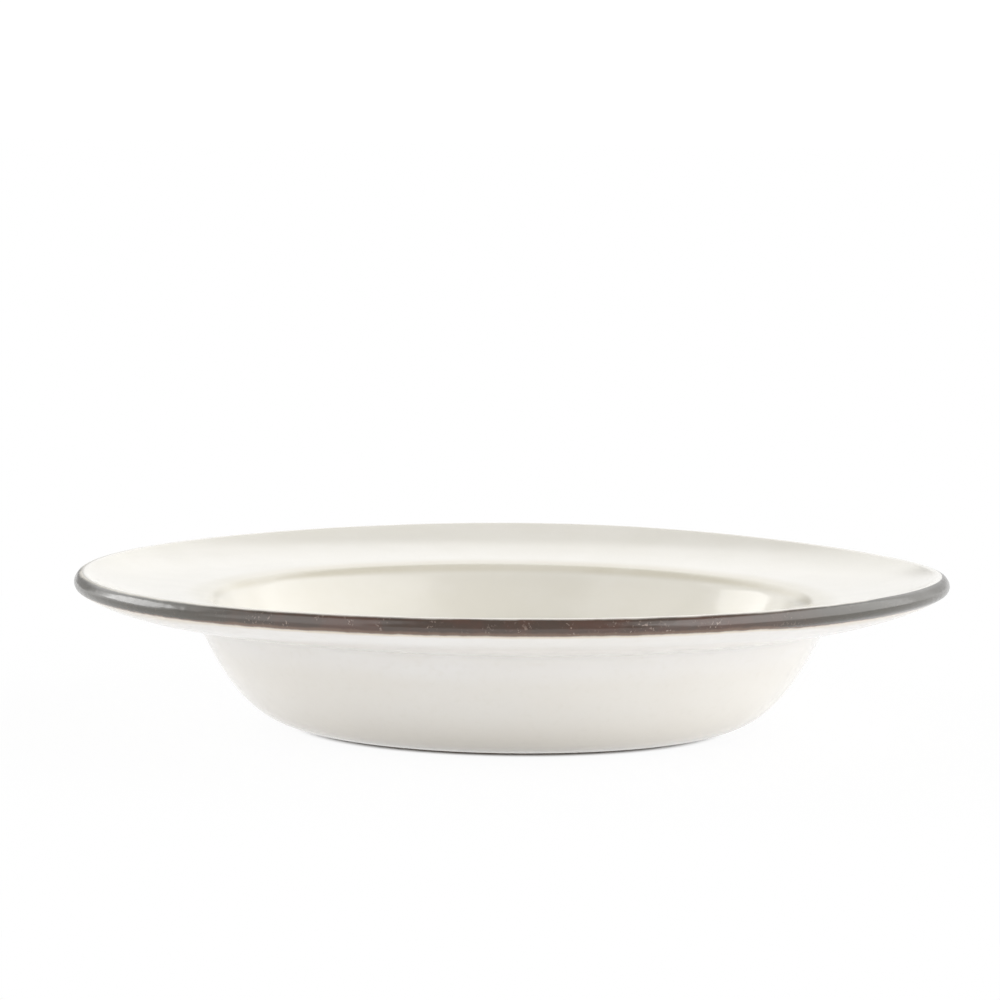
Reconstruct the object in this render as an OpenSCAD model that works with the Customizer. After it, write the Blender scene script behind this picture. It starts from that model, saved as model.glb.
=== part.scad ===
// Rimmed soup plate of glazed stoneware.
// One thrown clay body carries four fired coats: the glaze of the eating side, the glaze of the
// outside, the glaze of the recess under the floor, and the dark iron band round the lip.
// Coats and clay meet face to face, and only the foot ring is bare.
// The section is drawn as points of radius and height, with the resting face at height zero,
// and each solid is a full turn of its own part of that section about Z.

/* [Plate] */
// Diameter over the lip
plate_d = 240; // [200:1:280]
// Height of the crest of the lip above the table
plate_h = 43.6; // [36:0.2:56]

/* [Rim] */
// Thickness of the rim where it leaves the wall, coats included
rim_t = 6; // [5:0.1:8]
// Thickness of the rim where it ends in the lip, coats included
lip_t = 5; // [4.8:0.1:7]
// How far the corner under the rim lies below the crest of the lip
rim_drop = 13.4; // [11:0.1:18]
// Slope of the rim where it leaves the wall, in degrees
root_rise = 9.5; // [2:0.5:14]
// Length over which the rim keeps that slope
root_reach = 7.5; // [3:0.5:13]
// Slope of the rim where it ends in the lip, in degrees
lip_rise = 32; // [20:0.5:38]
// Length over which the rim keeps that slope
lip_reach = 11.5; // [4:0.5:16]
// Rounding of the two edges of the lip
lip_edge_r = 2.2; // [1.2:0.1:2.3]
// Rounding of the shoulder where the rim turns down into the well
shoulder_r = 6; // [2:0.5:8]

/* [Wall] */
// Outside diameter of the wall in the corner under the rim
wall_d = 173.6; // [160:0.2:184]
// Slope of the wall under the rim, in degrees
wall_rise = 64.6; // [54:0.1:72]
// Length over which the outside of the wall keeps that slope
wall_reach = 25; // [16:0.5:30]
// Length over which the inside of the wall keeps that slope
well_reach = 24; // [14:0.5:28]
// Thickness of the wall under the rim, coats included
wall_t = 7; // [5:0.1:8.4]
// Rounding of the corner between the wall and the underside of the rim
corner_r = 3; // [0.8:0.1:5]

/* [Floor] */
// Diameter of the flat floor of the well
floor_d = 96; // [80:1:104]
// Length over which the floor bends up into the wall
floor_reach = 14; // [6:0.5:18]
// Thickness of the floor over the recess, top coat included
floor_t = 4.8; // [3.6:0.1:7]

/* [Foot] */
// Diameter of the glaze line round the foot
toe_d = 107.8; // [102:0.2:114]
// Height of that glaze line above the table
toe_h = 0.5; // [0.3:0.1:2]
// Slope of the outside where it reaches the glaze line, in degrees
toe_rise = 2; // [0:0.5:8]
// Length over which the outside keeps that slope
toe_reach = 13; // [6:0.5:16]
// How far the foot ring stands in from the glaze line
toe_step = 0.7; // [0.2:0.1:2]
// Width of the foot ring at the table
foot_w = 4.6; // [3:0.1:8]
// Rounding of the two edges of the foot ring
foot_edge_r = 0.4; // [0.2:0.1:0.8]
// Depth of the recess inside the foot ring
recess_h = 2.6; // [1.8:0.1:5]
// Slope of the inner face of the foot ring, in degrees
recess_rise = 60; // [45:1:80]
// Rounding where that face meets the recess
recess_r = 1.2; // [0.6:0.1:1.8]

/* [Coats] */
// Thickness of every coat
coat_t = 0.4; // [0.2:0.05:0.6]
// Direction on the upper rounding of the lip where the band starts, in degrees above level
band_top = 80; // [50:1:88]

/* [Hidden] */
turn_steps = 180;
curve_steps = 16;
round_steps = 5;

clay_colour = [0.72, 0.60, 0.46];
cream_colour = [0.92, 0.90, 0.85];
cream_outside_colour = [0.90, 0.87, 0.81];
cream_base_colour = [0.87, 0.83, 0.75];
iron_colour = [0.30, 0.25, 0.22];

// Direction at an angle above level, and the same direction a quarter turn further
function heading(a) = [cos(a), sin(a)];
function square_to(a) = [-sin(a), cos(a)];
function unit(v) = v / norm(v);

// Cubic curve between two ends with a handle at each
function curve(start, start_handle, end_handle, end) =
    [for (i = [0:curve_steps]) let (s = i / curve_steps, r = 1 - s)
        r * r * (r * start + 3 * s * start_handle) + s * s * (3 * r * end_handle + s * end)];

// Arc about a centre from one direction to another
function arc(centre, r, from, to) =
    [for (i = [0:round_steps]) centre + r * heading(from + (to - from) * i / round_steps)];

// Rounding of the corner between two straight runs
function rounded(before, corner, after, r) =
    let (back = unit(before - corner), on = unit(after - corner), half = acos(back * on) / 2,
         centre = corner + unit(back + on) * r / sin(half),
         from = corner + back * r / tan(half) - centre, to = corner + on * r / tan(half) - centre,
         start = atan2(from.y, from.x), sweep = atan2(from.x * to.y - from.y * to.x, from * to))
    arc(centre, r, start, start + sweep);

// Where a line through one point at one angle meets a line through another point
function crossing(p, p_angle, q, q_angle) =
    p + heading(p_angle) * ((q - p) * square_to(q_angle)) / (heading(p_angle) * square_to(q_angle));

// Runs laid end to end, without the point that neighbours share
function joined(runs) =
    [for (k = [0:len(runs) - 1], i = [(k == 0 ? 0 : 1):len(runs[k]) - 1]) runs[k][i]];

// A run moved sideways, to its right when the depth is above zero
function moved_in(run, depth) =
    [for (i = [0:len(run) - 1])
        let (way = unit(run[min(i + 1, len(run) - 1)] - run[max(i - 1, 0)]))
            run[i] + depth * [way.y, -way.x]];

function part_of(run, from, to) = [for (i = [from:to]) run[i]];
function reversed(run) = [for (i = [len(run) - 1:-1:0]) run[i]];

// The lip is the end of the rim, square to its slope, with two wide roundings
lip_face = lip_t - 2 * lip_edge_r;
lip_low = [plate_d / 2 - lip_edge_r, plate_h - lip_edge_r - lip_face * cos(lip_rise)];
lip_top = lip_low + lip_face * square_to(lip_rise);
rim_top_end = lip_top + lip_edge_r * square_to(lip_rise);
rim_under_end = lip_low - lip_edge_r * square_to(lip_rise);

// The corner under the rim, and the shoulder above it where the well's wall meets the rim's top
corner = [wall_d / 2, plate_h - rim_drop];
shoulder = crossing(corner + rim_t * square_to(root_rise), root_rise,
                    corner + wall_t * square_to(wall_rise), wall_rise);
shoulder_round = rounded(shoulder - heading(wall_rise), shoulder,
                         shoulder + heading(root_rise), shoulder_r);
corner_round = rounded(corner + heading(root_rise), corner,
                       corner - heading(wall_rise), corner_r);

floor_h = recess_h + floor_t;
floor_edge = [floor_d / 2, floor_h];
toe = [toe_d / 2, toe_h];

well_wall = curve(floor_edge, floor_edge + [floor_reach, 0],
                  shoulder_round[0] - well_reach * heading(wall_rise), shoulder_round[0]);
rim_root = shoulder_round[round_steps];
rim_top = curve(rim_root, rim_root + root_reach * heading(root_rise),
                rim_top_end - lip_reach * heading(lip_rise), rim_top_end);
rim_under = curve(rim_under_end, rim_under_end - lip_reach * heading(lip_rise),
                  corner_round[0] + root_reach * heading(root_rise), corner_round[0]);
outer_wall = curve(corner_round[round_steps], corner_round[round_steps] - wall_reach * heading(wall_rise),
                   toe + toe_reach * heading(toe_rise), toe);

// The glazed surface, from the middle of the floor over the lip and down to the foot.
// The band ends where the lower rounding of the lip runs into the underside of the rim.
upper_run = joined([[[0, floor_h], floor_edge], well_wall, shoulder_round, rim_top,
                    arc(lip_top, lip_edge_r, lip_rise + 90, band_top)]);
band_run = concat(arc(lip_top, lip_edge_r, band_top, lip_rise),
                  arc(lip_low, lip_edge_r, lip_rise, lip_rise - 90));
outer_run = joined([rim_under, corner_round, outer_wall]);
glazed = joined([upper_run, band_run, outer_run]);
glazed_clay = moved_in(glazed, coat_t);
band_from = len(upper_run) - 1;
band_to = band_from + len(band_run) - 1;
glazed_end = len(glazed) - 1;

// The bare foot ring and the recess inside it, drawn on the clay
foot_top = [toe.x - toe_step, glazed_clay[glazed_end].y];
foot_out = [foot_top.x, 0];
foot_in = [foot_top.x - foot_w, 0];
recess_corner = crossing(foot_in, 180 - recess_rise, [0, recess_h], 0);
foot_run = concat([foot_top], rounded(foot_top, foot_out, foot_in, foot_edge_r),
                  rounded(foot_out, foot_in, recess_corner, foot_edge_r));
recess_run = concat(rounded(foot_in, recess_corner, [0, recess_h], recess_r), [[0, recess_h]]);

module turned(section) {
    rotate_extrude($fn = turn_steps) polygon(section);
}

// A coat between the glazed surface and the clay, over one stretch of the section
module coat(from, to) {
    turned(concat(part_of(glazed, from, to), reversed(part_of(glazed_clay, from, to))));
}

module clay_body() {
    color(clay_colour) turned(concat(glazed_clay, foot_run, recess_run));
}

module upper_glaze() {
    color(cream_colour) coat(0, band_from);
}

module rim_band() {
    color(iron_colour) coat(band_from, band_to);
}

module outer_glaze() {
    color(cream_outside_colour) coat(band_to, glazed_end);
}

module base_glaze() {
    color(cream_base_colour) turned(concat(recess_run, reversed(moved_in(recess_run, -coat_t))));
}

clay_body();
upper_glaze();
outer_glaze();
base_glaze();
rim_band();
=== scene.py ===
"""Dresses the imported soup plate: thrown stoneware, cream glaze and an iron band round the lip.

The plate is one section turned about Z, so each piece here is a full turn of its own stretch of that
section, in millimetres until its mesh is done. Throwing rings, the rim's slight flutter and the swell
of the glaze are moved into the turned mesh, alike on pieces that meet.
"""

from __future__ import annotations

import logging
import math
from collections.abc import Callable
from dataclasses import dataclass, field
from enum import Enum

import bmesh
import bpy
from mathutils import Matrix, Vector, noise
from mathutils.geometry import interpolate_bezier


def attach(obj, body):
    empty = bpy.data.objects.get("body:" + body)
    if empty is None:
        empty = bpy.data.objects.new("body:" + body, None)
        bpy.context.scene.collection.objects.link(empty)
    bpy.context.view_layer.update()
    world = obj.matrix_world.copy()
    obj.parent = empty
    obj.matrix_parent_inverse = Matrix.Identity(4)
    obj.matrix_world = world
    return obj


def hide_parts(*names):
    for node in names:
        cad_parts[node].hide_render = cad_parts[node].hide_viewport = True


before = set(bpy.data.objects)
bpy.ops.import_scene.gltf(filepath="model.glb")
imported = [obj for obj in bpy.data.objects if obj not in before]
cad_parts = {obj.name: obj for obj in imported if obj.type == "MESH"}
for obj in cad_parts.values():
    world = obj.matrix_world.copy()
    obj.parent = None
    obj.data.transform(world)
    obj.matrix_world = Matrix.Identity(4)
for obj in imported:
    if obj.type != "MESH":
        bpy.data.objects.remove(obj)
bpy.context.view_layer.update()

LOG = logging.getLogger("soup_plate")
MILLIMETRE = 0.001
SECTORS = 16

Colour = tuple[float, float, float]
Range = tuple[float, float]
Run = list[Vector]
Socket = bpy.types.NodeSocket


def heading(angle: float) -> Vector:
    """Returns the direction at an angle in degrees above level, as radius and height."""
    return Vector((math.cos(math.radians(angle)), math.sin(math.radians(angle))))


def square_to(angle: float) -> Vector:
    """Returns the direction a quarter turn on from an angle in degrees."""
    return heading(angle + 90)


def crossing(first: Vector, first_angle: float, second: Vector, second_angle: float) -> Vector:
    """Finds where two lines of the section meet.

    Args:
        first: A point of the first line.
        first_angle: That line's angle above level, in degrees.
        second: A point of the second line.
        second_angle: That line's angle above level, in degrees.

    Returns:
        The point that both lines pass through.
    """
    side = square_to(second_angle)
    return first + heading(first_angle) * ((second - first).dot(side) / heading(first_angle).dot(side))


def straight(start: Vector, end: Vector, steps: int) -> Run:
    """Returns the points of a straight run in even steps."""
    return [start.lerp(end, i / steps) for i in range(steps + 1)]


def curve(start: Vector, start_handle: Vector, end_handle: Vector, end: Vector, steps: int) -> Run:
    """Draws a cubic curve in straight steps.

    Args:
        start: The first end.
        start_handle: The handle of the first end.
        end_handle: The handle of the last end.
        end: The last end.
        steps: How many straight steps stand for the curve.

    Returns:
        The points of the curve, both ends included.
    """
    return [Vector(p[:2]) for p in interpolate_bezier(start, start_handle, end_handle, end, steps + 1)]


def arc(centre: Vector, radius: float, start: float, end: float, steps: int) -> Run:
    """Draws an arc in straight steps.

    Args:
        centre: The arc's centre.
        radius: Its radius.
        start: The direction of its first point, in degrees above level.
        end: The direction of its last point.
        steps: How many straight steps stand for the arc.

    Returns:
        The points of the arc, both ends included.
    """
    return [centre + radius * heading(start + (end - start) * i / steps) for i in range(steps + 1)]


def rounded(before: Vector, corner: Vector, after: Vector, radius: float, steps: int) -> Run:
    """Rounds the corner between two straight runs.

    Args:
        before: A point of the run that comes in.
        corner: The sharp corner.
        after: A point of the run that goes out.
        radius: The radius of the rounding.
        steps: How many straight steps stand for it.

    Returns:
        The points of the rounding, both ends included.
    """
    back, on = (before - corner).normalized(), (after - corner).normalized()
    half = back.angle(on) / 2
    centre = corner + (back + on).normalized() * radius / math.sin(half)
    reach = radius / math.tan(half)
    first, last = corner + back * reach - centre, corner + on * reach - centre
    start = math.degrees(math.atan2(first.y, first.x))
    sweep = math.degrees(math.atan2(first.x * last.y - first.y * last.x, first.dot(last)))
    return arc(centre, radius, start, start + sweep, steps)


def joined(*runs: Run) -> Run:
    """Returns runs laid end to end, without the point that neighbours share."""
    return [*runs[0], *(p for run in runs[1:] for p in run[1:])]


def length(run: Run) -> float:
    """Returns the length of a run."""
    return sum((b - a).length for a, b in zip(run, run[1:]))


def smooth(value: float, low: float, high: float) -> float:
    """Returns 0 at low and 1 at high, with an even rise between them."""
    share = min(1.0, max(0.0, (value - low) / (high - low)))
    return share * share * (3 - 2 * share)


@dataclass(frozen=True)
class Station:
    """One point of the section.

    Attributes:
        place: Its radius and height.
        out: The way out of the clay, as radius and height.
        along: Its distance along the glazed surface from the band's lower border, upwards.
        lift: How much of the surface's marks it takes, from 0 on hidden faces to 1.
    """

    place: Vector
    out: Vector
    along: float
    lift: float = 1.0

    def under(self, depth: float) -> Station:
        """Returns the hidden point that lies at a depth below this one."""
        return Station(self.place - self.out * depth, self.out, self.along, 0.0)


def stationed(run: Run, start: float) -> list[Station]:
    """Gives each point of a run its way out and its distance along the surface.

    Args:
        run: The points, with the clay on their right.
        start: The distance at the first point, from which it falls.

    Returns:
        One station for each point.
    """
    made, along = [], start
    for i, place in enumerate(run):
        way = (run[min(i + 1, len(run) - 1)] - run[max(i - 1, 0)]).normalized()
        along -= (place - run[i - 1]).length if i else 0.0
        made.append(Station(place, Vector((-way.y, way.x)), along))
    return made


def thinned(stations: list[Station], every: int = 4) -> list[Station]:
    """Returns every so manieth station, with the last one always among them."""
    return [*stations[:-1:every], stations[-1]]


@dataclass(frozen=True)
class PlateSection:
    """The plate's section, in millimetres and degrees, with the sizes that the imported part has."""

    plate_d: float = 240.0
    plate_h: float = 43.6
    rim_t: float = 6.0
    lip_t: float = 5.0
    rim_drop: float = 13.4
    root_rise: float = 9.5
    root_reach: float = 7.5
    lip_rise: float = 32.0
    lip_reach: float = 11.5
    lip_edge_r: float = 2.2
    shoulder_r: float = 6.0
    wall_d: float = 173.6
    wall_rise: float = 64.6
    wall_reach: float = 25.0
    well_reach: float = 24.0
    wall_t: float = 7.0
    corner_r: float = 3.0
    floor_d: float = 96.0
    floor_reach: float = 14.0
    floor_t: float = 4.8
    toe_d: float = 107.8
    toe_h: float = 0.5
    toe_rise: float = 2.0
    toe_reach: float = 13.0
    toe_step: float = 0.7
    foot_w: float = 4.6
    foot_edge_r: float = 0.4
    recess_h: float = 2.6
    recess_rise: float = 60.0
    recess_r: float = 1.2
    coat_t: float = 0.4
    band_top: float = 80.0
    long_steps: int = 56
    round_steps: int = 12

    @property
    def lip_flat(self) -> float:
        """Width of the flat between the lip's two roundings."""
        return self.lip_t - 2 * self.lip_edge_r

    @property
    def lip_low(self) -> Vector:
        """Centre of the lip's lower rounding."""
        height = self.plate_h - self.lip_edge_r - self.lip_flat * math.cos(math.radians(self.lip_rise))
        return Vector((self.plate_d / 2 - self.lip_edge_r, height))

    @property
    def lip_top(self) -> Vector:
        """Centre of the lip's upper rounding."""
        return self.lip_low + self.lip_flat * square_to(self.lip_rise)

    @property
    def corner(self) -> Vector:
        """Sharp corner between the wall and the underside of the rim."""
        return Vector((self.wall_d / 2, self.plate_h - self.rim_drop))

    @property
    def toe(self) -> Vector:
        """Lower end of the outside glaze."""
        return Vector((self.toe_d / 2, self.toe_h))

    @property
    def foot_inner(self) -> Vector:
        """Sharp inner edge of the foot ring at the table."""
        return Vector((self.toe.x - self.toe_step - self.foot_w, 0))

    @property
    def recess_corner(self) -> Vector:
        """Sharp corner where the foot ring's inner face meets the recess."""
        return crossing(self.foot_inner, 180 - self.recess_rise, Vector((0, self.recess_h)), 0)

    def eating_side(self) -> Run:
        """Returns the surface from the middle of the floor over the rim to the band's top."""
        floor_h = self.recess_h + self.floor_t
        floor_edge = Vector((self.floor_d / 2, floor_h))
        wall, root = heading(self.wall_rise), heading(self.root_rise)
        shoulder = crossing(
            self.corner + self.rim_t * square_to(self.root_rise), self.root_rise,
            self.corner + self.wall_t * square_to(self.wall_rise), self.wall_rise,
        )
        turn = rounded(shoulder - wall, shoulder, shoulder + root, self.shoulder_r, self.round_steps)
        well_wall = curve(
            floor_edge, floor_edge + Vector((self.floor_reach, 0)),
            turn[0] - self.well_reach * wall, turn[0], self.long_steps,
        )
        rim_end = self.lip_top + self.lip_edge_r * square_to(self.lip_rise)
        rim_top = curve(
            turn[-1], turn[-1] + self.root_reach * root,
            rim_end - self.lip_reach * heading(self.lip_rise), rim_end, self.long_steps,
        )
        crest = arc(self.lip_top, self.lip_edge_r, self.lip_rise + 90, self.band_top, self.round_steps)
        floor = straight(Vector((0, floor_h)), floor_edge, self.long_steps)
        return joined(floor, well_wall, turn, rim_top, crest)

    def lip_face(self) -> Run:
        """Returns the surface that the iron band covers, from its top down."""
        out = self.lip_edge_r * heading(self.lip_rise)
        top = arc(self.lip_top, self.lip_edge_r, self.band_top, self.lip_rise, self.round_steps)
        face = straight(self.lip_top + out, self.lip_low + out, self.round_steps // 4)
        low = arc(self.lip_low, self.lip_edge_r, self.lip_rise, self.lip_rise - 90, 2 * self.round_steps)
        return joined(top, face, low)

    def outside(self) -> Run:
        """Returns the surface from the band's lower border under the rim and down to the foot."""
        wall, root = heading(self.wall_rise), heading(self.root_rise)
        start = self.lip_low - self.lip_edge_r * square_to(self.lip_rise)
        turn = rounded(self.corner + root, self.corner, self.corner - wall, self.corner_r, self.round_steps)
        under = curve(
            start, start - self.lip_reach * heading(self.lip_rise),
            turn[0] + self.root_reach * root, turn[0], self.long_steps,
        )
        side = curve(
            turn[-1], turn[-1] - self.wall_reach * wall,
            self.toe + self.toe_reach * heading(self.toe_rise), self.toe, self.long_steps,
        )
        return joined(under, turn, side)

    def foot(self) -> Run:
        """Returns the bare surface of the foot ring, from the glaze's end to the start of the recess."""
        top = Vector((self.toe.x - self.toe_step, self.toe_h + self.coat_t))
        outer, inner = Vector((top.x, 0)), self.foot_inner
        steps = self.round_steps // 2
        first = rounded(top, outer, inner, self.foot_edge_r, steps)
        second = rounded(outer, inner, self.recess_corner, self.foot_edge_r, steps)
        flat = straight(first[-1], second[0], self.round_steps)
        slope = straight(second[-1], self.recess()[0], steps)
        return joined([top, first[0]], first, flat, second, slope)

    def recess(self) -> Run:
        """Returns the clay under the recess's glaze, from the foot ring to the middle."""
        middle = Vector((0, self.recess_h))
        turn = rounded(self.foot_inner, self.recess_corner, middle, self.recess_r, self.round_steps)
        return joined(turn, straight(turn[-1], middle, self.long_steps))


@dataclass(frozen=True)
class PottersHand:
    """What throwing, turning and dipping leave in the surface, in millimetres.

    Attributes:
        section: The plate's section.
        flutter: Waves of the rim's height: count round the plate, height and place in degrees.
        oval: Waves of its radius, in the same way.
        ring_pitch: Distance between the throwing rings of the eating side, ring_depth their depth.
        trim_pitch: Distance between the turning marks of the outside, trim_depth their depth.
        groove_depth: Depth of the tool's grooves, and of the grain, in the bare foot.
        swell_size: Size of the glaze's long swell, swell_depth its depth.
        ripple_size: Size of its short ripple, ripple_depth its depth.
        pit_size: Size of the iron's pits, pit_depth their depth.
        least_rings: Share of the rings' depth that is there all round the plate.
        under_share: Length of the rim's underside, as a share of what it adds to the diameter.
        warp_from: Radius from which the rim flutters, as a share of the wall's diameter.
    """

    section: PlateSection = PlateSection()
    flutter: tuple[tuple[int, float, float], ...] = (
        (1, 0.66, 12.0), (2, 0.62, 213.0), (3, 0.32, 263.0), (4, 0.21, 305.0),
    )
    oval: tuple[tuple[int, float, float], ...] = ((2, 0.10, 75.0), (3, 0.06, 20.0))
    ring_pitch: float = 4.6
    ring_depth: float = 0.008
    trim_pitch: float = 2.9
    trim_depth: float = 0.004
    groove_depth: float = 0.014
    swell_size: float = 22.0
    swell_depth: float = 0.03
    ripple_size: float = 6.5
    ripple_depth: float = 0.012
    pit_size: float = 1.7
    pit_depth: float = 0.035
    least_rings: float = 0.35
    under_share: float = 0.53
    warp_from: float = 0.46

    @staticmethod
    def waves(kinds: tuple[tuple[int, float, float], ...], turn: float) -> float:
        """Returns the sum of waves at an angle round the plate, in radians."""
        return sum(height * math.cos(count * turn - math.radians(place)) for count, height, place in kinds)

    def warped(self, point: Vector) -> Vector:
        """Returns a turned point moved with the rim's flutter and the slight oval, none at the foot."""
        sizes = self.section
        radius, turn = math.hypot(point.x, point.y), math.atan2(point.y, point.x)
        rim = smooth(radius, sizes.wall_d * self.warp_from, sizes.plate_d / 2)
        height = smooth(point.z, sizes.toe_h + sizes.foot_w, sizes.plate_h)
        stretch = 1 + height * self.waves(self.oval, turn) / (sizes.plate_d / 2)
        return Vector((point.x * stretch, point.y * stretch, point.z + rim * self.waves(self.flutter, turn)))

    def on_glaze(self, point: Vector, along: float) -> float:
        """Works out how far the glazed surface stands out.

        Args:
            point: The point as turned.
            along: Its distance along the section from the band's lower border.

        Returns:
            The distance outwards.
        """
        sizes = self.section
        radius, turn = math.hypot(point.x, point.y), math.atan2(point.y, point.x) / math.tau
        still = smooth(radius, 0, sizes.floor_d / 8)
        in_well = smooth(along, 0, sizes.plate_d / 4)
        outside = smooth(-along, sizes.plate_d / 6, sizes.plate_d / 4)
        rings = in_well * self.ring_depth * math.cos(math.tau * (along / self.ring_pitch + turn))
        trims = outside * self.trim_depth * math.cos(math.tau * (along / self.trim_pitch + turn))
        swell = self.swell_depth * noise.noise(point / self.swell_size)
        ripple = self.ripple_depth * noise.noise(point / self.ripple_size)
        calm = noise.noise(point / self.swell_size + Vector((9.1, 3.7, 5.3)))
        calm = self.least_rings + (1 - self.least_rings) * calm
        from_corner = abs(along + (sizes.plate_d - sizes.wall_d) * self.under_share)
        even = smooth(from_corner, sizes.corner_r, sizes.corner_r * 4)
        return still * (rings + trims) * calm + even * (swell + ripple)

    def on_band(self, point: Vector, along: float, width: float) -> float:
        """Works out how far the iron band's surface stands out, with its pits.

        Args:
            point: The point as turned.
            along: Its distance along the section from the band's lower border.
            width: The band's width along the section.

        Returns:
            The distance outwards.
        """
        inside = smooth(along, 0, width / 4) * smooth(width - along, 0, width / 4)
        return self.on_glaze(point, along) + inside * self.pit_depth * noise.noise(point / self.pit_size)

    def on_clay(self, point: Vector) -> float:
        """Returns how far the bare foot stands out, never above 0, so that it stands where it stood."""
        edge = self.section.foot_edge_r
        groove = 0.5 + 0.5 * math.cos(math.tau * math.hypot(point.x, point.y) / (edge * 2))
        return -self.groove_depth * (groove + 0.5 + 0.5 * noise.noise(point / edge))


class Coat(Enum):
    """The stretches of the plate that a cream coat covers."""

    EATING_SIDE = "eating side"
    OUTSIDE = "outside"
    RECESS = "recess"


class Nodes:
    """A node tree that starts empty, with short calls for its nodes."""

    def __init__(self, owner: bpy.types.Material | bpy.types.World) -> None:
        """Empties the tree of a material or world."""
        owner.use_nodes = True
        self.tree = owner.node_tree
        self.tree.nodes.clear()

    def add(self, kind: str, **settings: object) -> bpy.types.Node:
        """Adds a node of a kind, with some of its properties set."""
        made = self.tree.nodes.new(kind)
        for name, value in settings.items():
            setattr(made, name, value)
        return made

    def feed(self, socket: Socket, value: object) -> None:
        """Links an input to an output socket, or sets it to a number, vector or colour."""
        if isinstance(value, Socket):
            self.tree.links.new(value, socket)
        elif isinstance(value, tuple) and socket.type == "RGBA":
            socket.default_value = (*value, 1.0)
        else:
            socket.default_value = value

    def sum(self, operation: str, *values: object) -> Socket:
        """Adds a Math node.

        Args:
            operation: The node's operation.
            *values: Its numbers or sockets.

        Returns:
            The result.
        """
        made = self.add("ShaderNodeMath", operation=operation)
        for socket, value in zip(made.inputs, values):
            self.feed(socket, value)
        return made.outputs[0]

    def times(self, first: object, second: object) -> Socket:
        """Returns the product of two numbers or sockets."""
        return self.sum("MULTIPLY", first, second)

    def vectors(self, operation: str, *values: object) -> bpy.types.Node:
        """Adds a Vector Math node with an operation on vectors or sockets."""
        made = self.add("ShaderNodeVectorMath", operation=operation)
        for socket, value in zip(made.inputs, values):
            self.feed(socket, value)
        return made

    def between(self, value: object, low: float, high: float, start: float = 0.0, end: float = 1.0
                ) -> Socket:
        """Adds a smooth Map Range node.

        Args:
            value: The number or socket that is mapped.
            low: The value that gives start.
            high: The value that gives end, which may be below low.
            start: The result at low and past it.
            end: The result at high and past it.

        Returns:
            The mapped number.
        """
        if low > high:
            low, high, start, end = high, low, end, start
        made = self.add("ShaderNodeMapRange", interpolation_type="SMOOTHSTEP")
        for socket, number in zip(made.inputs, (value, low, high, start, end)):
            self.feed(socket, number)
        return made.outputs[0]


class Recipe(Nodes):
    """The node tree of one finish, with the nodes that the finishes share."""

    def __init__(self, name: str) -> None:
        """Starts a material of this name."""
        self.material = bpy.data.materials.new(name)
        super().__init__(self.material)
        self.place = self.add("ShaderNodeTexCoord").outputs["Object"]

    def clouds(self, size: float, squash: float = 1.0, detail: float = 2.0, shift: float = 0.0) -> Socket:
        """Adds a noise on the piece's own coordinates.

        Args:
            size: The size of a cloud in millimetres.
            squash: How many times flatter than wide a cloud is.
            detail: How many finer octaves it has.
            shift: How far the pattern is moved, so that two noises differ.

        Returns:
            The noise, from 0 to 1 about a middle of 0.5.
        """
        each = 1 / (size * MILLIMETRE)
        mapping = self.add("ShaderNodeMapping")
        self.feed(mapping.inputs["Vector"], self.place)
        self.feed(mapping.inputs["Location"], (shift, shift, shift))
        self.feed(mapping.inputs["Scale"], (each, each, each * squash))
        made = self.add("ShaderNodeTexNoise")
        for name, value in (("Vector", mapping.outputs[0]), ("Scale", 1.0), ("Detail", detail)):
            self.feed(made.inputs[name], value)
        return made.outputs["Fac"]

    def blend(self, share: object, first: object, second: object) -> Socket:
        """Mixes two colours or sockets, by how much of the second shows."""
        made = self.add("ShaderNodeMix", data_type="RGBA", clamp_factor=True)
        for place, value in ((0, share), (6, first), (7, second)):
            self.feed(made.inputs[place], value)
        return made.outputs[2]

    def along(self) -> Socket:
        """Returns the distance along the section, in millimetres above the band's lower border."""
        return self.add("ShaderNodeAttribute", attribute_name="along").outputs["Fac"]

    def sideways(self) -> Socket:
        """Returns the distance to the right of the plate's middle, in millimetres."""
        split = self.add("ShaderNodeSeparateXYZ")
        self.feed(split.inputs[0], self.place)
        return self.times(split.outputs["X"], 1 / MILLIMETRE)

    def off_middle(self) -> Socket:
        """Returns the distance to either side of the plate's middle, in millimetres."""
        return self.sum("ABSOLUTE", self.sideways())

    def bump(self, height: object, depth: float) -> Socket:
        """Bends the normal by a relief from 0 to 1, where 1 stands for a depth in millimetres."""
        made = self.add("ShaderNodeBump")
        for name, value in (("Strength", 1.0), ("Distance", depth * MILLIMETRE), ("Height", height)):
            self.feed(made.inputs[name], value)
        return made.outputs["Normal"]

    def surface(self, **inputs: object) -> bpy.types.Material:
        """Ends the recipe with its shader.

        Args:
            **inputs: The shader's inputs by name, with _ for each space.

        Returns:
            The finished material.
        """
        shader = self.add("ShaderNodeBsdfPrincipled")
        for name, value in inputs.items():
            self.feed(shader.inputs[name.replace("_", " ")], value)
        self.feed(self.add("ShaderNodeOutputMaterial").inputs["Surface"], shader.outputs[0])
        return self.material


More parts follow.
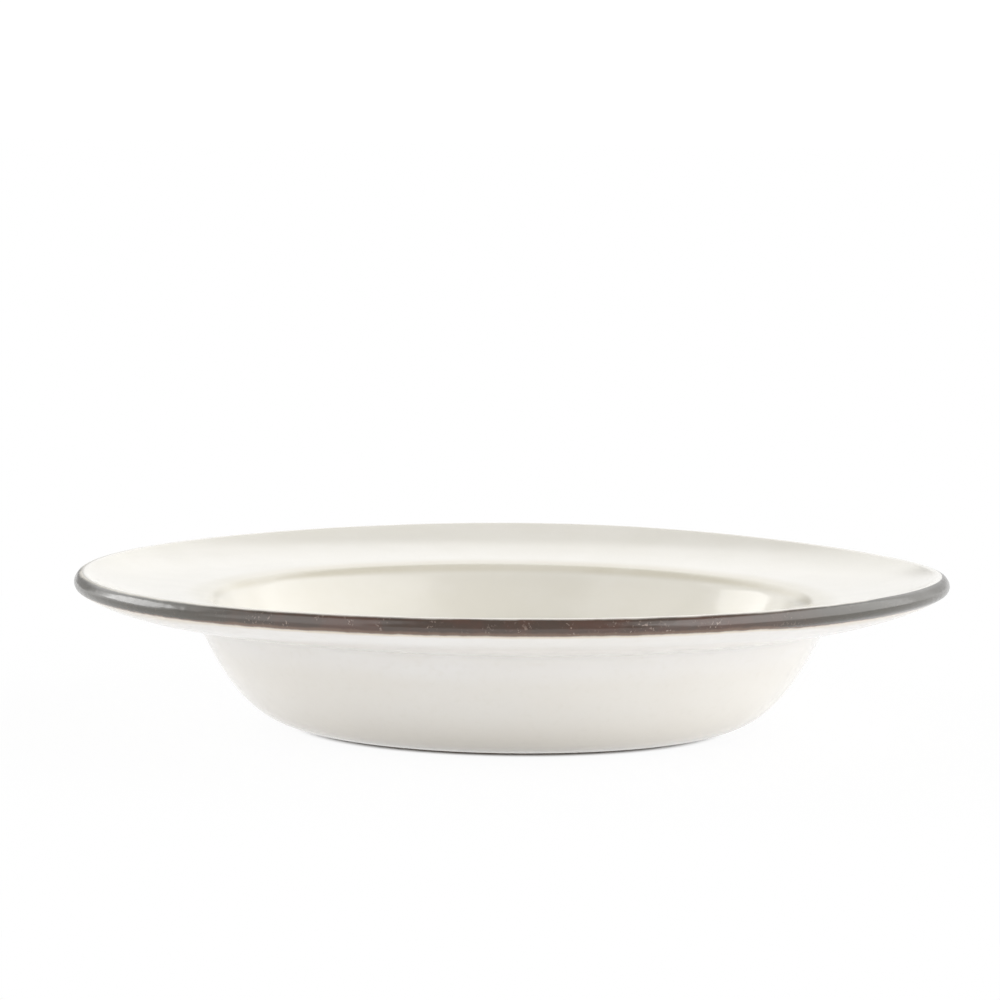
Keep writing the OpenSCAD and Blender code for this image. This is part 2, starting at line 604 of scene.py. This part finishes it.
@dataclass(frozen=True)
class IronEdge:
    """How the iron thins out towards its borders, in millimetres from each.

    Attributes:
        halo: Heights over the lower border between which the cream takes up a tint.
        clear: Heights over the lower border between which cream turns to rust.
        rusty: Heights over the lower border between which rust turns to brown.
        crest: Depths below the upper border between which cream turns to brown.
        ragged: How far the lower border strays up and down.
        wander: How far the upper border strays up and down.
        low_side: Distances to the right between which the brush went further down, by low_reach.
        high_side: Distances to the right between which it went further up, by high_reach.
        ends: Distances from the middle between which the halo widens and the rust narrows.
        end_halo: How much faster the halo sets in at the ends.
        end_rust: How much faster rust turns to brown there.
        tint: Colour of the halo.
        rust: Colour of the iron where it is thin.
        full: Colour of the iron where it is thick below its usual border.
    """

    halo: Range = (-1.8, 0.0)
    clear: Range = (-0.3, 0.7)
    rusty: Range = (0.8, 1.8)
    crest: Range = (0.0, 1.15)
    ragged: float = 0.15
    wander: float = 0.18
    low_side: Range = (62.0, 76.0)
    low_reach: float = 1.4
    high_side: Range = (84.0, 104.0)
    high_reach: float = 0.9
    ends: Range = (66.0, 92.0)
    end_halo: float = 0.4
    end_rust: float = 1.9
    tint: Colour = (0.80, 0.71, 0.59)
    rust: Colour = (0.17, 0.10, 0.065)
    full: Colour = (0.07, 0.042, 0.03)

    def height(self, recipe: Recipe) -> Socket:
        """Returns the height over the ragged lower border, alike on the coats that meet there."""
        ragged = recipe.between(recipe.clouds(3.6, detail=3, shift=2.2), 0.3, 0.7, -self.ragged, self.ragged)
        reach = recipe.between(recipe.sideways(), *self.low_side, 0.0, self.low_reach)
        return recipe.sum("ADD", recipe.sum("SUBTRACT", recipe.along(), ragged), reach)

    def depth(self, recipe: Recipe, width: float) -> Socket:
        """Returns the depth below the wandering upper border of a band of this width."""
        wander = recipe.between(recipe.clouds(13, detail=4, shift=4.4), 0.34, 0.66, -self.wander, self.wander)
        reach = recipe.between(recipe.sideways(), *self.high_side, 0.0, self.high_reach)
        depth = recipe.sum("SUBTRACT", recipe.sum("SUBTRACT", width, recipe.along()), wander)
        return recipe.sum("ADD", depth, reach)

    def painted(self, recipe: Recipe, clean: object, iron: object) -> Socket:
        """Lets the iron run out over its lower border, from brown by rust and a halo to cream.

        Args:
            recipe: The recipe of the coat.
            clean: The cream below.
            iron: The iron above.

        Returns:
            The colour on both sides of the border.
        """
        height = self.height(recipe)
        side = recipe.between(recipe.off_middle(), *self.ends)
        broad = recipe.times(height, recipe.between(side, 0, 1, 1.0, self.end_halo))
        narrow = recipe.times(height, recipe.between(side, 0, 1, 1.0, self.end_rust))
        haloed = recipe.blend(recipe.between(broad, *self.halo), clean, self.tint)
        rusty = recipe.blend(recipe.between(narrow, *self.rusty), self.rust, iron)
        return recipe.blend(recipe.between(height, *self.clear), haloed, rusty)


@dataclass(frozen=True)
class CreamGlaze:
    """Glossy cream glaze, thick in the well, stained where it meets the iron, with painted light and shade:
    thin glaze darkened on the shoulder, lighter under the rim, darker near the foot and at the ends under the
    rim.

    Attributes:
        coat: The stretch of the plate that it covers.
        shoulder: Where the shoulder's rounding ends on the rim's side, as the distance along.
        edge: The iron band's borders.
        pooling: Distances past the shoulder between which the glaze thickens in the well.
        wear_and_shade: Distances from the shoulder between which the glaze thins out and is darkened as
            painted shade, and wear_and_shade_ends between which it thickens again and the shade ends.
        whiter_and_lit: Distances along between which the outside turns white upwards: whiter glaze and painted
            light on the wall's top under the rim.
        lower: Distances along between which it leaves the darker tone that it has near the foot, painted shade
            where the wall turns under towards the table.
        ends: Distances from the middle between which the underside of the rim is darkened as painted shade at
            the plate's left and right ends, by end_shade_share.
        still: Half lengths round calm_at, along the underside, without and with orange peel.
        peel: Depth of the orange peel in millimetres.
    """

    coat: Coat
    shoulder: float = 0.0
    edge: IronEdge = IronEdge()
    cream: Colour = (0.79, 0.766, 0.70)
    # Whiter glaze on the wall's top under the rim, lightened further as painted light.
    white: Colour = (0.935, 0.92, 0.90)
    pale: Colour = (0.905, 0.883, 0.84)
    # Darker tone near the foot, painted shade of the wall turning under; the outside's clouds drift to it too.
    low: Colour = (0.89, 0.855, 0.79)
    pooled: Colour = (0.85, 0.822, 0.738)
    # Thin glaze tone of the clouds, also the colour of the painted shade at the ends under the rim.
    thin: Colour = (0.81, 0.78, 0.705)
    # Thin glaze on the shoulder, darkened further as painted shade of the shoulder's dark line.
    worn_and_shaded: Colour = (0.68, 0.64, 0.535)
    pooling: Range = (2.0, 16.0)
    wear_and_shade: Range = (-6.8, -0.6)
    wear_and_shade_ends: Range = (5.0, 2.8)
    whiter_and_lit: Range = (-44.0, -37.0)
    lower: Range = (-68.0, -50.0)
    ends: Range = (78.0, 104.0)
    end_shade_share: float = 0.6
    calm_at: float = -31.0
    still: Range = (9.0, 15.0)
    peel: float = 0.008
    roughness: float = 0.10
    roughness_drift: float = 0.04
    ior: float = 1.46

    def above(self, recipe: Recipe, drift: Socket, patch: Socket) -> Socket:
        """Colours the eating side.

        Args:
            recipe: The glaze's recipe.
            drift: Its widest clouds.
            patch: Its smaller clouds.

        Returns:
            The colour.
        """
        inward = recipe.sum("SUBTRACT", recipe.along(), self.shoulder)
        colour = recipe.blend(recipe.between(inward, *self.pooling), self.cream, self.pooled)
        colour = recipe.blend(recipe.times(drift, 0.25), colour, self.thin)
        colour = recipe.blend(recipe.times(patch, 0.2), colour, self.pale)
        # Painted shade: the thin glaze along the shoulder is darkened where its rounding turns dark.
        bare = recipe.times(recipe.between(inward, *self.wear_and_shade), recipe.between(inward, *self.wear_and_shade_ends))
        uneven = recipe.between(recipe.clouds(26, shift=6.6), 0.35, 0.65, 0.7, 1.0)
        return recipe.blend(recipe.times(bare, uneven), colour, self.worn_and_shaded)

    def below(self, recipe: Recipe, drift: Socket, patch: Socket) -> Socket:
        """Colours the outside and the recess.

        Args:
            recipe: The glaze's recipe.
            drift: Its widest clouds.
            patch: Its smaller clouds.

        Returns:
            The colour.
        """
        along = recipe.along()
        # Painted light: the wall's top under the rim turns whiter.
        colour = recipe.blend(recipe.between(along, *self.whiter_and_lit), self.pale, self.white)
        # Painted shade: darker towards the foot.
        colour = recipe.blend(recipe.between(along, *self.lower), self.low, colour)
        # Painted shade: the rim's underside is darker at the plate's left and right ends.
        side = recipe.between(recipe.off_middle(), *self.ends, 0.0, self.end_shade_share)
        colour = recipe.blend(side, colour, self.thin)
        colour = recipe.blend(recipe.times(drift, 0.3), colour, self.low)
        return recipe.blend(recipe.times(patch, 0.2), colour, self.low)

    def material(self) -> bpy.types.Material:
        """Mixes the glaze for this coat."""
        recipe = Recipe(f"cream glaze of the {self.coat.value}")
        drift = recipe.between(recipe.clouds(48, squash=2.2, detail=3), 0.36, 0.66)
        patch = recipe.between(recipe.clouds(17, squash=1.8, detail=3, shift=3.1), 0.42, 0.7)
        tone = self.above if self.coat is Coat.EATING_SIDE else self.below
        colour = tone(recipe, drift, patch)
        mottle = recipe.between(recipe.clouds(2.2, detail=4, shift=7.7), 0.5, 0.8, 0.0, 0.2)
        colour = recipe.blend(mottle, colour, self.thin)
        if self.coat is Coat.OUTSIDE:
            colour = self.edge.painted(recipe, colour, self.edge.full)
        rough = recipe.between(recipe.clouds(9, detail=3, shift=1.3), 0.3, 0.7,
                               self.roughness, self.roughness + self.roughness_drift)
        away = recipe.sum("ABSOLUTE", recipe.sum("SUBTRACT", recipe.along(), self.calm_at))
        peel = recipe.times(recipe.clouds(1.4, detail=2, shift=5.9), recipe.between(away, *self.still))
        return recipe.surface(
            Base_Color=colour, Roughness=rough, Normal=recipe.bump(peel, self.peel), IOR=self.ior)


@dataclass(frozen=True)
class IronBand:
    """Satin iron glaze: brown and olive, pitted, thin and rusty at its borders, drab grey at its ends as a
    painted sheen.

    Attributes:
        width: The band's width along the section.
        edge: Its borders.
        ends: Distances from the middle between which brown and olive turn to the drab grey of a painted sheen.
        flecked: Distances from the middle between which the flecks grow rare, to end_flecks.
        fleck_heights: Shares of the width between which they thin out upwards, to top_flecks.
        crust: Depths below the upper border between which the matte crust on the left ends.
        crust_side: Distances to the right between which that crust ends.
        crust_matte: How much of the gloss, out of 0.5, the crust takes.
    """

    width: float
    edge: IronEdge = IronEdge()
    brown: Colour = (0.084, 0.037, 0.022)
    olive: Colour = (0.060, 0.035, 0.022)
    # Greyer iron at the band's left and right ends, a painted sheen of the side lamps.
    drab_sheen: Colour = (0.064, 0.057, 0.043)
    fleck: Colour = (0.32, 0.235, 0.19)
    cream: Colour = (0.84, 0.80, 0.72)
    ends: Range = (52.0, 90.0)
    flecked: Range = (50.0, 84.0)
    end_flecks: float = 0.12
    fleck_heights: Range = (0.3, 0.9)
    top_flecks: float = 0.35
    crust: Range = (1.0, 0.5)
    crust_side: Range = (-66.0, -84.0)
    crust_matte: float = 0.45
    relief: float = 0.010
    roughness: float = 0.13
    roughness_drift: float = 0.10
    ior: float = 1.8

    def material(self) -> bpy.types.Material:
        """Mixes the iron glaze."""
        recipe = Recipe("iron glaze of the lip")
        side = recipe.off_middle()
        tone = recipe.between(recipe.clouds(9, detail=3), 0.38, 0.62)
        colour = recipe.blend(tone, self.brown, self.olive)
        # Painted sheen: the band turns drab grey towards its left and right ends.
        colour = recipe.blend(recipe.between(side, *self.ends), colour, self.drab_sheen)
        field_of_flecks = recipe.between(recipe.clouds(7, detail=2, shift=8.1), 0.47, 0.62)
        grain = recipe.between(recipe.clouds(0.75, detail=2, shift=6.3), 0.57, 0.67)
        heights = (share * self.width for share in self.fleck_heights)
        low = recipe.between(recipe.along(), *heights, 1.0, self.top_flecks)
        low = recipe.times(low, recipe.between(side, *self.flecked, 1.0, self.end_flecks))
        flecks = recipe.times(recipe.times(field_of_flecks, grain), low)
        colour = recipe.blend(flecks, colour, self.fleck)
        colour = self.edge.painted(recipe, self.cream, colour)
        depth = self.edge.depth(recipe, self.width)
        colour = recipe.blend(recipe.between(depth, *self.edge.crest), self.cream, colour)
        rough = recipe.between(recipe.clouds(1.6, detail=3, shift=1.9), 0.3, 0.7,
                               self.roughness, self.roughness + self.roughness_drift)
        relief = recipe.bump(recipe.clouds(0.8, detail=2, shift=5.1), self.relief)
        crust = recipe.between(depth, *self.crust, 0.0, self.crust_matte)
        crust = recipe.times(crust, recipe.between(recipe.sideways(), *self.crust_side))
        return recipe.surface(Base_Color=colour, Roughness=rough, Normal=relief, IOR=self.ior,
                              Specular_IOR_Level=recipe.sum("SUBTRACT", 0.5, crust))


@dataclass(frozen=True)
class BareClay:
    """Fired stoneware without glaze: buff, gritty, toasted in rings by the turning tool."""

    buff: Colour = (0.62, 0.49, 0.35)
    toasted: Colour = (0.47, 0.31, 0.19)
    grit: Colour = (0.24, 0.16, 0.10)
    relief: float = 0.05
    roughness: float = 0.82
    ior: float = 1.45

    def material(self) -> bpy.types.Material:
        """Mixes the fired clay."""
        recipe = Recipe("bare stoneware")
        toast = recipe.between(recipe.clouds(14, detail=4), 0.42, 0.68, 0.0, 0.8)
        colour = recipe.blend(toast, self.buff, self.toasted)
        grit = recipe.between(recipe.clouds(0.7, detail=2, shift=4.6), 0.66, 0.72, 0.0, 0.9)
        colour = recipe.blend(grit, colour, self.grit)
        relief = recipe.bump(recipe.clouds(0.45, detail=3, shift=2.8), self.relief)
        return recipe.surface(Base_Color=colour, Roughness=self.roughness, Normal=relief, IOR=self.ior)


def turned(name: str, stations: list[Station], steps: int) -> bmesh.types.BMesh:
    """Turns a stretch of the section once round Z: one sector is spun, then doubled until full.

    Args:
        name: The piece's name, for the log.
        stations: The outline, open where both ends lie on the axis and closed otherwise.
        steps: How many steps the turn has, a multiple of the number of sectors.

    Returns:
        A closed mesh in millimetres, with each vertex's way out, distance along and lift.
    """
    work = bmesh.new()
    along, lift = (work.verts.layers.float.new(layer) for layer in ("along", "lift"))
    out = work.verts.layers.float_vector.new("out")
    wire = []
    for station in stations:
        made = work.verts.new((station.place.x, 0, station.place.y))
        made[along], made[lift], made[out] = station.along, station.lift, (*station.out, 0)
        wire.append(made)
    ends = list(zip(wire, wire[1:]))
    if stations[0].place.x > 0:
        ends.append((wire[-1], wire[0]))
    edges = [work.edges.new(pair) for pair in ends]
    turn = math.tau / SECTORS
    bmesh.ops.spin(
        work, geom=[*wire, *edges], cent=(0, 0, 0), axis=(0, 0, 1), angle=turn,
        steps=steps // SECTORS, use_merge=False, use_duplicate=False,
    )
    while turn < math.tau * 0.99:
        copied = bmesh.ops.duplicate(work, geom=[*work.verts, *work.edges, *work.faces])["geom"]
        verts = [part for part in copied if isinstance(part, bmesh.types.BMVert)]
        bmesh.ops.rotate(work, cent=(0, 0, 0), matrix=Matrix.Rotation(turn, 3, "Z"), verts=verts)
        turn *= 2
    bmesh.ops.remove_doubles(work, verts=work.verts, dist=1e-4)
    bmesh.ops.recalc_face_normals(work, faces=work.faces)
    LOG.info("%s: turned in %d steps, %d faces", name, steps, len(work.faces))
    return work


def handled(work: bmesh.types.BMesh, hand: PottersHand, stand: Callable[[Vector, float], float]) -> None:
    """Moves the marks of the hand into a turned piece.

    Args:
        work: The piece's mesh.
        hand: The marks.
        stand: How far the surface stands out at a turned point and its distance along.
    """
    floats = work.verts.layers.float
    along, lift = floats["along"], floats["lift"]
    out = work.verts.layers.float_vector["out"]
    for vert in work.verts:
        point = vert.co.copy()
        vert.co = hand.warped(point)
        if vert[lift] > 0:
            level = Vector((point.x, point.y, 0)).normalized()
            way = level * vert[out].x + Vector((0, 0, vert[out].y))
            vert.co += way * stand(point, vert[along]) * vert[lift]


@dataclass
class Piece:
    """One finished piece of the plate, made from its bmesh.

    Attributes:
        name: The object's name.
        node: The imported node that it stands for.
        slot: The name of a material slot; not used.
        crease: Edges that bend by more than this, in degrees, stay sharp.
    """

    name: str
    node: str
    slot: str
    crease: float = 34.0

    def finish(self, work: bmesh.types.BMesh, material: bpy.types.Material) -> bpy.types.Object:
        """Makes the object and hands it to the frame.

        Args:
            work: The shaped mesh, in millimetres.
            material: The finish.

        Returns:
            The object, riding on the frame's body.
        """
        for face in work.faces:
            face.smooth = True
        for edge in work.edges:
            edge.smooth = edge.calc_face_angle(0.0) < math.radians(self.crease)
        work.verts.layers.float_vector.remove(work.verts.layers.float_vector["out"])
        work.verts.layers.float.remove(work.verts.layers.float["lift"])
        bmesh.ops.scale(work, vec=(MILLIMETRE,) * 3, verts=work.verts)
        mesh = bpy.data.meshes.new(self.name)
        work.to_mesh(mesh)
        work.free()
        mesh.materials.append(material)
        made = bpy.data.objects.new(self.name, mesh)
        bpy.context.scene.collection.objects.link(made)
        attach(made, "root")
        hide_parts(self.node)
        LOG.info("%s stands for %s with %d vertices", self.name, self.node, len(mesh.vertices))
        return made


@dataclass
class GlazedSurface:
    """The three coats that meet along the glazed surface: eating side, iron band and outside."""

    hand: PottersHand
    steps: int = 400
    band_steps: int = 800
    toe_bevel: float = 0.16

    band_width: float = field(init=False)
    shoulder: float = field(init=False)
    eating: list[Station] = field(init=False)
    band: list[Station] = field(init=False)
    outer: list[Station] = field(init=False)

    def __post_init__(self) -> None:
        """Measures the section and sets out the stations of each coat."""
        sizes = self.hand.section
        eating, face = sizes.eating_side(), sizes.lip_face()
        self.band_width = length(face)
        start = self.band_width + length(eating)
        whole = stationed(joined(eating, face, sizes.outside()), start)
        first, second = len(eating) - 1, len(eating) + len(face) - 2
        self.shoulder = whole[first - sizes.round_steps - sizes.long_steps].along
        self.eating = whole[:first + 1]
        self.band = whole[first:second + 1]
        self.outer = whole[second:]

    def clay(self, coat: list[Station]) -> list[Station]:
        """Returns the clay's surface below a coat."""
        return [s.under(self.hand.section.coat_t) for s in thinned(coat)]

    def covered_clay(self) -> list[Station]:
        """Returns the clay's surface below all three coats, from the middle of the floor."""
        return self.clay([*self.eating, *self.band[1:], *self.outer[1:]])

    def soften_toe(self, work: bmesh.types.BMesh) -> None:
        """Rounds the thick edge in which the outside glaze ends above the foot."""
        along, lift = work.verts.layers.float["along"], work.verts.layers.float["lift"]
        end = self.outer[-1].along + MILLIMETRE
        ring = [e for e in work.edges if all(v[along] < end and v[lift] > 0 for v in e.verts)]
        bmesh.ops.bevel(
            work, geom=ring, offset=self.toe_bevel, offset_type="OFFSET", segments=3,
            profile=0.5, affect="EDGES", material=-1, clamp_overlap=True,
        )

    def build(self) -> list[bpy.types.Object]:
        """Builds the pieces of the eating side, the iron band and the outside."""
        hand = self.hand
        coats = ((self.eating, self.steps), (self.band, self.band_steps), (self.outer, self.steps))
        eating, band, outer = (
            turned(name, [*coat, *reversed(self.clay(coat))], steps)
            for name, (coat, steps) in zip(("eating side", "iron band", "outside"), coats)
        )
        self.soften_toe(outer)
        handled(eating, hand, hand.on_glaze)
        handled(band, hand, lambda point, along: hand.on_band(point, along, self.band_width))
        handled(outer, hand, hand.on_glaze)
        return [
            Piece("eating_side_glaze", "upper_glaze", "cream_glaze").finish(
                eating, CreamGlaze(Coat.EATING_SIDE, shoulder=self.shoulder).material()),
            Piece("iron_lip_band", "rim_band", "iron_band").finish(
                band, IronBand(self.band_width).material()),
            Piece("outside_glaze", "outer_glaze", "cream_glaze").finish(
                outer, CreamGlaze(Coat.OUTSIDE).material()),
        ]


@dataclass
class Underside:
    """The clay body with its bare foot ring, and the glaze in the recess inside the ring."""

    hand: PottersHand
    clay_steps: int = 400
    recess_steps: int = 240

    def build_clay(self, covered: list[Station]) -> bpy.types.Object:
        """Builds the clay body.

        Args:
            covered: Its surface below the glaze, from the middle of the floor to the foot.

        Returns:
            The clay body.
        """
        foot = stationed(self.hand.section.foot(), covered[-1].along)
        recess = stationed(self.hand.section.recess(), foot[-1].along)
        hidden = [s.under(0.0) for s in thinned(recess)]
        work = turned("clay body", [*covered, *foot, *hidden[1:]], self.clay_steps)
        handled(work, self.hand, lambda point, _: self.hand.on_clay(point))
        return Piece("thrown_clay_body", "clay_body", "bare_clay").finish(work, BareClay().material())

    def build_recess(self) -> bpy.types.Object:
        """Builds the glaze in the recess."""
        clay = stationed(self.hand.section.recess(), 0.0)
        skin = [Station(s.place + s.out * self.hand.section.coat_t, s.out, s.along) for s in clay]
        hidden = [s.under(0.0) for s in reversed(thinned(clay))]
        work = turned("recess glaze", [*skin, *hidden], self.recess_steps)
        return Piece("recess_glaze", "base_glaze", "cream_glaze").finish(
            work, CreamGlaze(Coat.RECESS).material())


@dataclass(frozen=True)
class Softbox:
    """One large soft lamp, placed by the direction in which the plate sees it.

    Attributes:
        name: The lamp's name.
        azimuth: Degrees to the right of the camera, seen from the plate.
        elevation: Degrees above level.
        width: Width in metres.
        height: Height in metres.
        radiance: How much brighter its face is than the wall behind it, where 1 is white.
        distance: Metres from the plate.
    """

    name: str
    azimuth: float
    elevation: float
    width: float
    height: float
    radiance: float
    distance: float = 2.2

    def hang(self, target: Vector) -> None:
        """Adds the lamp to the scene, facing a point."""
        side, rise = math.radians(self.azimuth), math.radians(self.elevation)
        away = Vector((math.sin(side) * math.cos(rise), -math.cos(side) * math.cos(rise), math.sin(rise)))
        lamp = bpy.data.lights.new(self.name, "AREA")
        lamp.shape = "RECTANGLE"
        lamp.size, lamp.size_y = self.width, self.height
        lamp.energy = self.radiance * math.pi * self.width * self.height
        made = bpy.data.objects.new(self.name, lamp)
        made.location = target + away * self.distance
        made.rotation_mode = "QUATERNION"
        made.rotation_quaternion = away.to_track_quat("Z", "Y")
        bpy.context.scene.collection.objects.link(made)
        LOG.info("%s hangs %.1f m away", self.name, self.distance)


class Sky(Nodes):
    """The world's node tree, which reads nothing but the direction of the light."""

    def __init__(self, name: str) -> None:
        """Starts a world of this name."""
        world = bpy.data.worlds.new(name)
        bpy.context.scene.world = world
        super().__init__(world)
        split = self.add("ShaderNodeSeparateXYZ")
        self.feed(split.inputs[0], self.add("ShaderNodeTexCoord").outputs["Generated"])
        self.way = split.outputs
        level = self.add("ShaderNodeCombineXYZ")
        for axis in "XY":
            self.feed(level.inputs[axis], self.way[axis])
        self.compass = self.vectors("NORMALIZE", level.outputs[0]).outputs["Vector"]

    def facing(self, azimuth: float, edges: Range) -> Socket:
        """Marks the directions near an azimuth, from full to none at two distances in degrees."""
        side = math.radians(azimuth)
        dot = self.vectors("DOT_PRODUCT", self.compass, (math.sin(side), -math.cos(side), 0))
        full, end = (math.cos(math.radians(edge)) for edge in edges)
        return self.between(dot.outputs["Value"], end, full)

    def above(self, rise: Range) -> Socket:
        """Marks the directions at a height, from none to full at two elevations in degrees."""
        return self.between(self.way["Z"], *(math.sin(math.radians(e)) for e in rise))

    def finish(self, strength: Socket) -> None:
        """Lights the world white at a strength."""
        light = self.add("ShaderNodeBackground")
        self.feed(light.inputs["Color"], (1.0, 1.0, 1.0))
        self.feed(light.inputs["Strength"], strength)
        self.feed(self.add("ShaderNodeOutputWorld").inputs["Surface"], light.outputs[0])


@dataclass(frozen=True)
class Shade:
    """A darker stretch of the studio's walls.

    Attributes:
        azimuth: Its middle, in degrees to the right of the camera.
        edges: Degrees from there up to which it is full, and at which it ends.
        rise: Degrees above level at which it begins and is full.
        darker: How much darker it is, as a share of the wall.
    """

    azimuth: float
    edges: Range
    rise: Range
    darker: float


@dataclass(frozen=True)
class Surround:
    """White studio walls under a dark ceiling, with a dark opening in front round the camera.

    Attributes:
        wall: How bright the walls are, where 1 is white.
        left: How bright the wall on the left is.
        left_azimuth: The middle of that wall, in degrees to the right of the camera.
        left_edges: Degrees from there up to which it is full, and at which it ends.
        shades: The opening in front and the low backdrop behind the plate.
        gaps: Darker gaps between the walls.
        horizon: Degrees above level between which the gaps begin.
        ceiling: How bright the ceiling is.
        ceiling_height: Heights on the unit sphere at which the ceiling is full and begins.
        ceiling_tilt: How much lower on that sphere it comes at the back, and higher in front.
    """

    wall: float = 1.33
    left: float = 1.55
    left_azimuth: float = -62.0
    left_edges: Range = (22.0, 34.0)
    shades: tuple[Shade, ...] = (
        Shade(0.5, edges=(32.0, 45.0), rise=(0.0, 8.0), darker=0.63),
        Shade(180.0, edges=(20.0, 40.0), rise=(20.0, 8.0), darker=0.2),
    )
    gaps: tuple[Shade, ...] = (
        Shade(-160.0, edges=(12.0, 18.0), rise=(20.0, 12.0), darker=0.6),
        Shade(160.0, edges=(9.0, 16.0), rise=(20.0, 12.0), darker=0.3),
        Shade(-93.0, edges=(4.0, 10.0), rise=(90.0, 54.0), darker=0.4),
    )
    horizon: Range = (0.0, 1.5)
    ceiling: float = 0.42
    ceiling_height: Range = (0.85, 0.70)
    ceiling_tilt: float = 0.17

    def build(self) -> None:
        """Makes the world."""
        sky = Sky("studio walls")
        left = sky.facing(self.left_azimuth, self.left_edges)
        walls = sky.sum("MULTIPLY_ADD", left, self.left - self.wall, self.wall)
        for shade in (*self.shades, *self.gaps):
            share = sky.times(sky.facing(shade.azimuth, shade.edges), sky.above(shade.rise))
            if shade in self.gaps:
                share = sky.times(share, sky.above(self.horizon))
            walls = sky.times(walls, sky.sum("MULTIPLY_ADD", share, -shade.darker, 1.0))
        height = sky.sum("MULTIPLY_ADD", sky.way["Y"], self.ceiling_tilt, sky.way["Z"])
        under = sky.between(height, *self.ceiling_height)
        sky.finish(sky.sum("MULTIPLY_ADD", sky.sum("SUBTRACT", walls, self.ceiling), under, self.ceiling))


@dataclass(frozen=True)
class Viewpoint:
    """The camera, placed so that the plate lies where the photograph has it."""

    distance: float = 1.44
    elevation: float = 6.38
    roll: float = 0.72
    look_height: float = 0.039
    pixels_per_metre: float = 3634.6
    frame_pixels: float = 1000.0
    look_pixel: Range = (511.6, 585.6)
    sensor: float = 36.0

    def set_up(self) -> None:
        """Makes the camera, aims it at the plate and turns it until the plate is off centre."""
        data = bpy.data.cameras.new("camera")
        focal_pixels = self.pixels_per_metre * self.distance
        data.sensor_width = self.sensor
        data.lens = focal_pixels * self.sensor / self.frame_pixels
        rise = math.radians(self.elevation)
        back = Vector((0, -math.cos(rise), math.sin(rise)))
        right, down = (pixel - self.frame_pixels / 2 for pixel in self.look_pixel)
        turn = back.to_track_quat("Z", "Y").to_matrix()
        turn = turn @ Matrix.Rotation(math.radians(self.roll), 3, "Z")
        turn = turn @ Matrix.Rotation(math.atan(right / focal_pixels), 3, "Y")
        turn = turn @ Matrix.Rotation(math.atan(down / focal_pixels), 3, "X")
        camera = bpy.data.objects.new("camera", data)
        camera.location = Vector((0, 0, self.look_height)) + back * self.distance
        camera.rotation_euler = turn.to_euler()
        bpy.context.scene.collection.objects.link(camera)
        bpy.context.scene.camera = camera
        LOG.info("camera %.2f m away with a %.0f mm lens", self.distance, data.lens)


@dataclass(frozen=True)
class StudioFloor:
    """Plain pale floor, white to the camera but for the plate's faint shadow.

    Attributes:
        radius: Its radius in metres.
        white: Its colour.
        shadow_share: How much of its own shading is seen round the plate.
        shadow_ends: Metres from the plate's middle between which that fades out.
        contact_ends: Metres from there between which the camera sees less than its full shading.
    """

    radius: float = 6.0
    white: Colour = (0.97, 0.97, 0.97)
    shadow_share: float = 0.05
    shadow_ends: Range = (0.09, 0.35)
    contact_ends: Range = (0.0545, 0.06)

    def build(self) -> None:
        """Builds the floor."""
        work = bmesh.new()
        bmesh.ops.create_circle(work, cap_ends=True, segments=96, radius=self.radius)
        mesh = bpy.data.meshes.new("studio_floor")
        work.to_mesh(mesh)
        work.free()
        mesh.materials.append(self.paint())
        floor = bpy.data.objects.new("studio_floor", mesh)
        bpy.context.scene.collection.objects.link(floor)

    def paint(self) -> bpy.types.Material:
        """Mixes a matte white that looks white and keeps a share of its own shading."""
        recipe = Recipe("pale floor")
        matte = recipe.add("ShaderNodeBsdfDiffuse")
        recipe.feed(matte.inputs["Color"], self.white)
        distance = recipe.vectors("LENGTH", recipe.place).outputs["Value"]
        path = recipe.add("ShaderNodeLightPath").outputs
        seen = recipe.times(path["Is Camera Ray"], recipe.between(distance, *self.contact_ends))
        for kind in ("Is Glossy Ray", "Is Transmission Ray"):
            seen = recipe.sum("MAXIMUM", seen, path[kind])
        plain = recipe.between(distance, *self.shadow_ends, 1 - self.shadow_share, 1.0)
        mixed = recipe.add("ShaderNodeMixShader")
        glow = recipe.add("ShaderNodeEmission")
        for socket, value in zip(mixed.inputs, (recipe.times(seen, plain), matte.outputs[0], glow.outputs[0])):
            recipe.feed(socket, value)
        recipe.feed(recipe.add("ShaderNodeOutputMaterial").inputs["Surface"], mixed.outputs[0])
        return recipe.material


@dataclass(frozen=True)
class Studio:
    """Floor, surround, lamps and camera."""

    softboxes: tuple[Softbox, ...] = (
        Softbox("right softbox", azimuth=87.5, elevation=27, width=3.76, height=2.3, radiance=0.95),
        Softbox("left softbox", azimuth=-120, elevation=20, width=1.05, height=0.85, radiance=2.6),
    )
    aim: tuple[float, float, float] = (0.0, 0.0, 0.04)

    def set_up(self) -> None:
        """Builds all of the studio and sets the view transform."""
        StudioFloor().build()
        Surround().build()
        for softbox in self.softboxes:
            softbox.hang(Vector(self.aim))
        Viewpoint().set_up()
        bpy.context.scene.view_settings.view_transform = "Standard"


def main() -> None:
    """Builds the studio and every piece of the plate, and reports each."""
    logging.basicConfig(level=logging.INFO, format="%(message)s")
    Studio().set_up()
    hand = PottersHand()
    surface, underside = GlazedSurface(hand), Underside(hand)
    pieces = surface.build()
    pieces.append(underside.build_clay(surface.covered_clay()))
    pieces.append(underside.build_recess())
    for piece in pieces:
        LOG.info("%s: %d triangles", piece.name, sum(len(p.vertices) - 2 for p in piece.data.polygons))


if __name__ == "__main__":
    main()
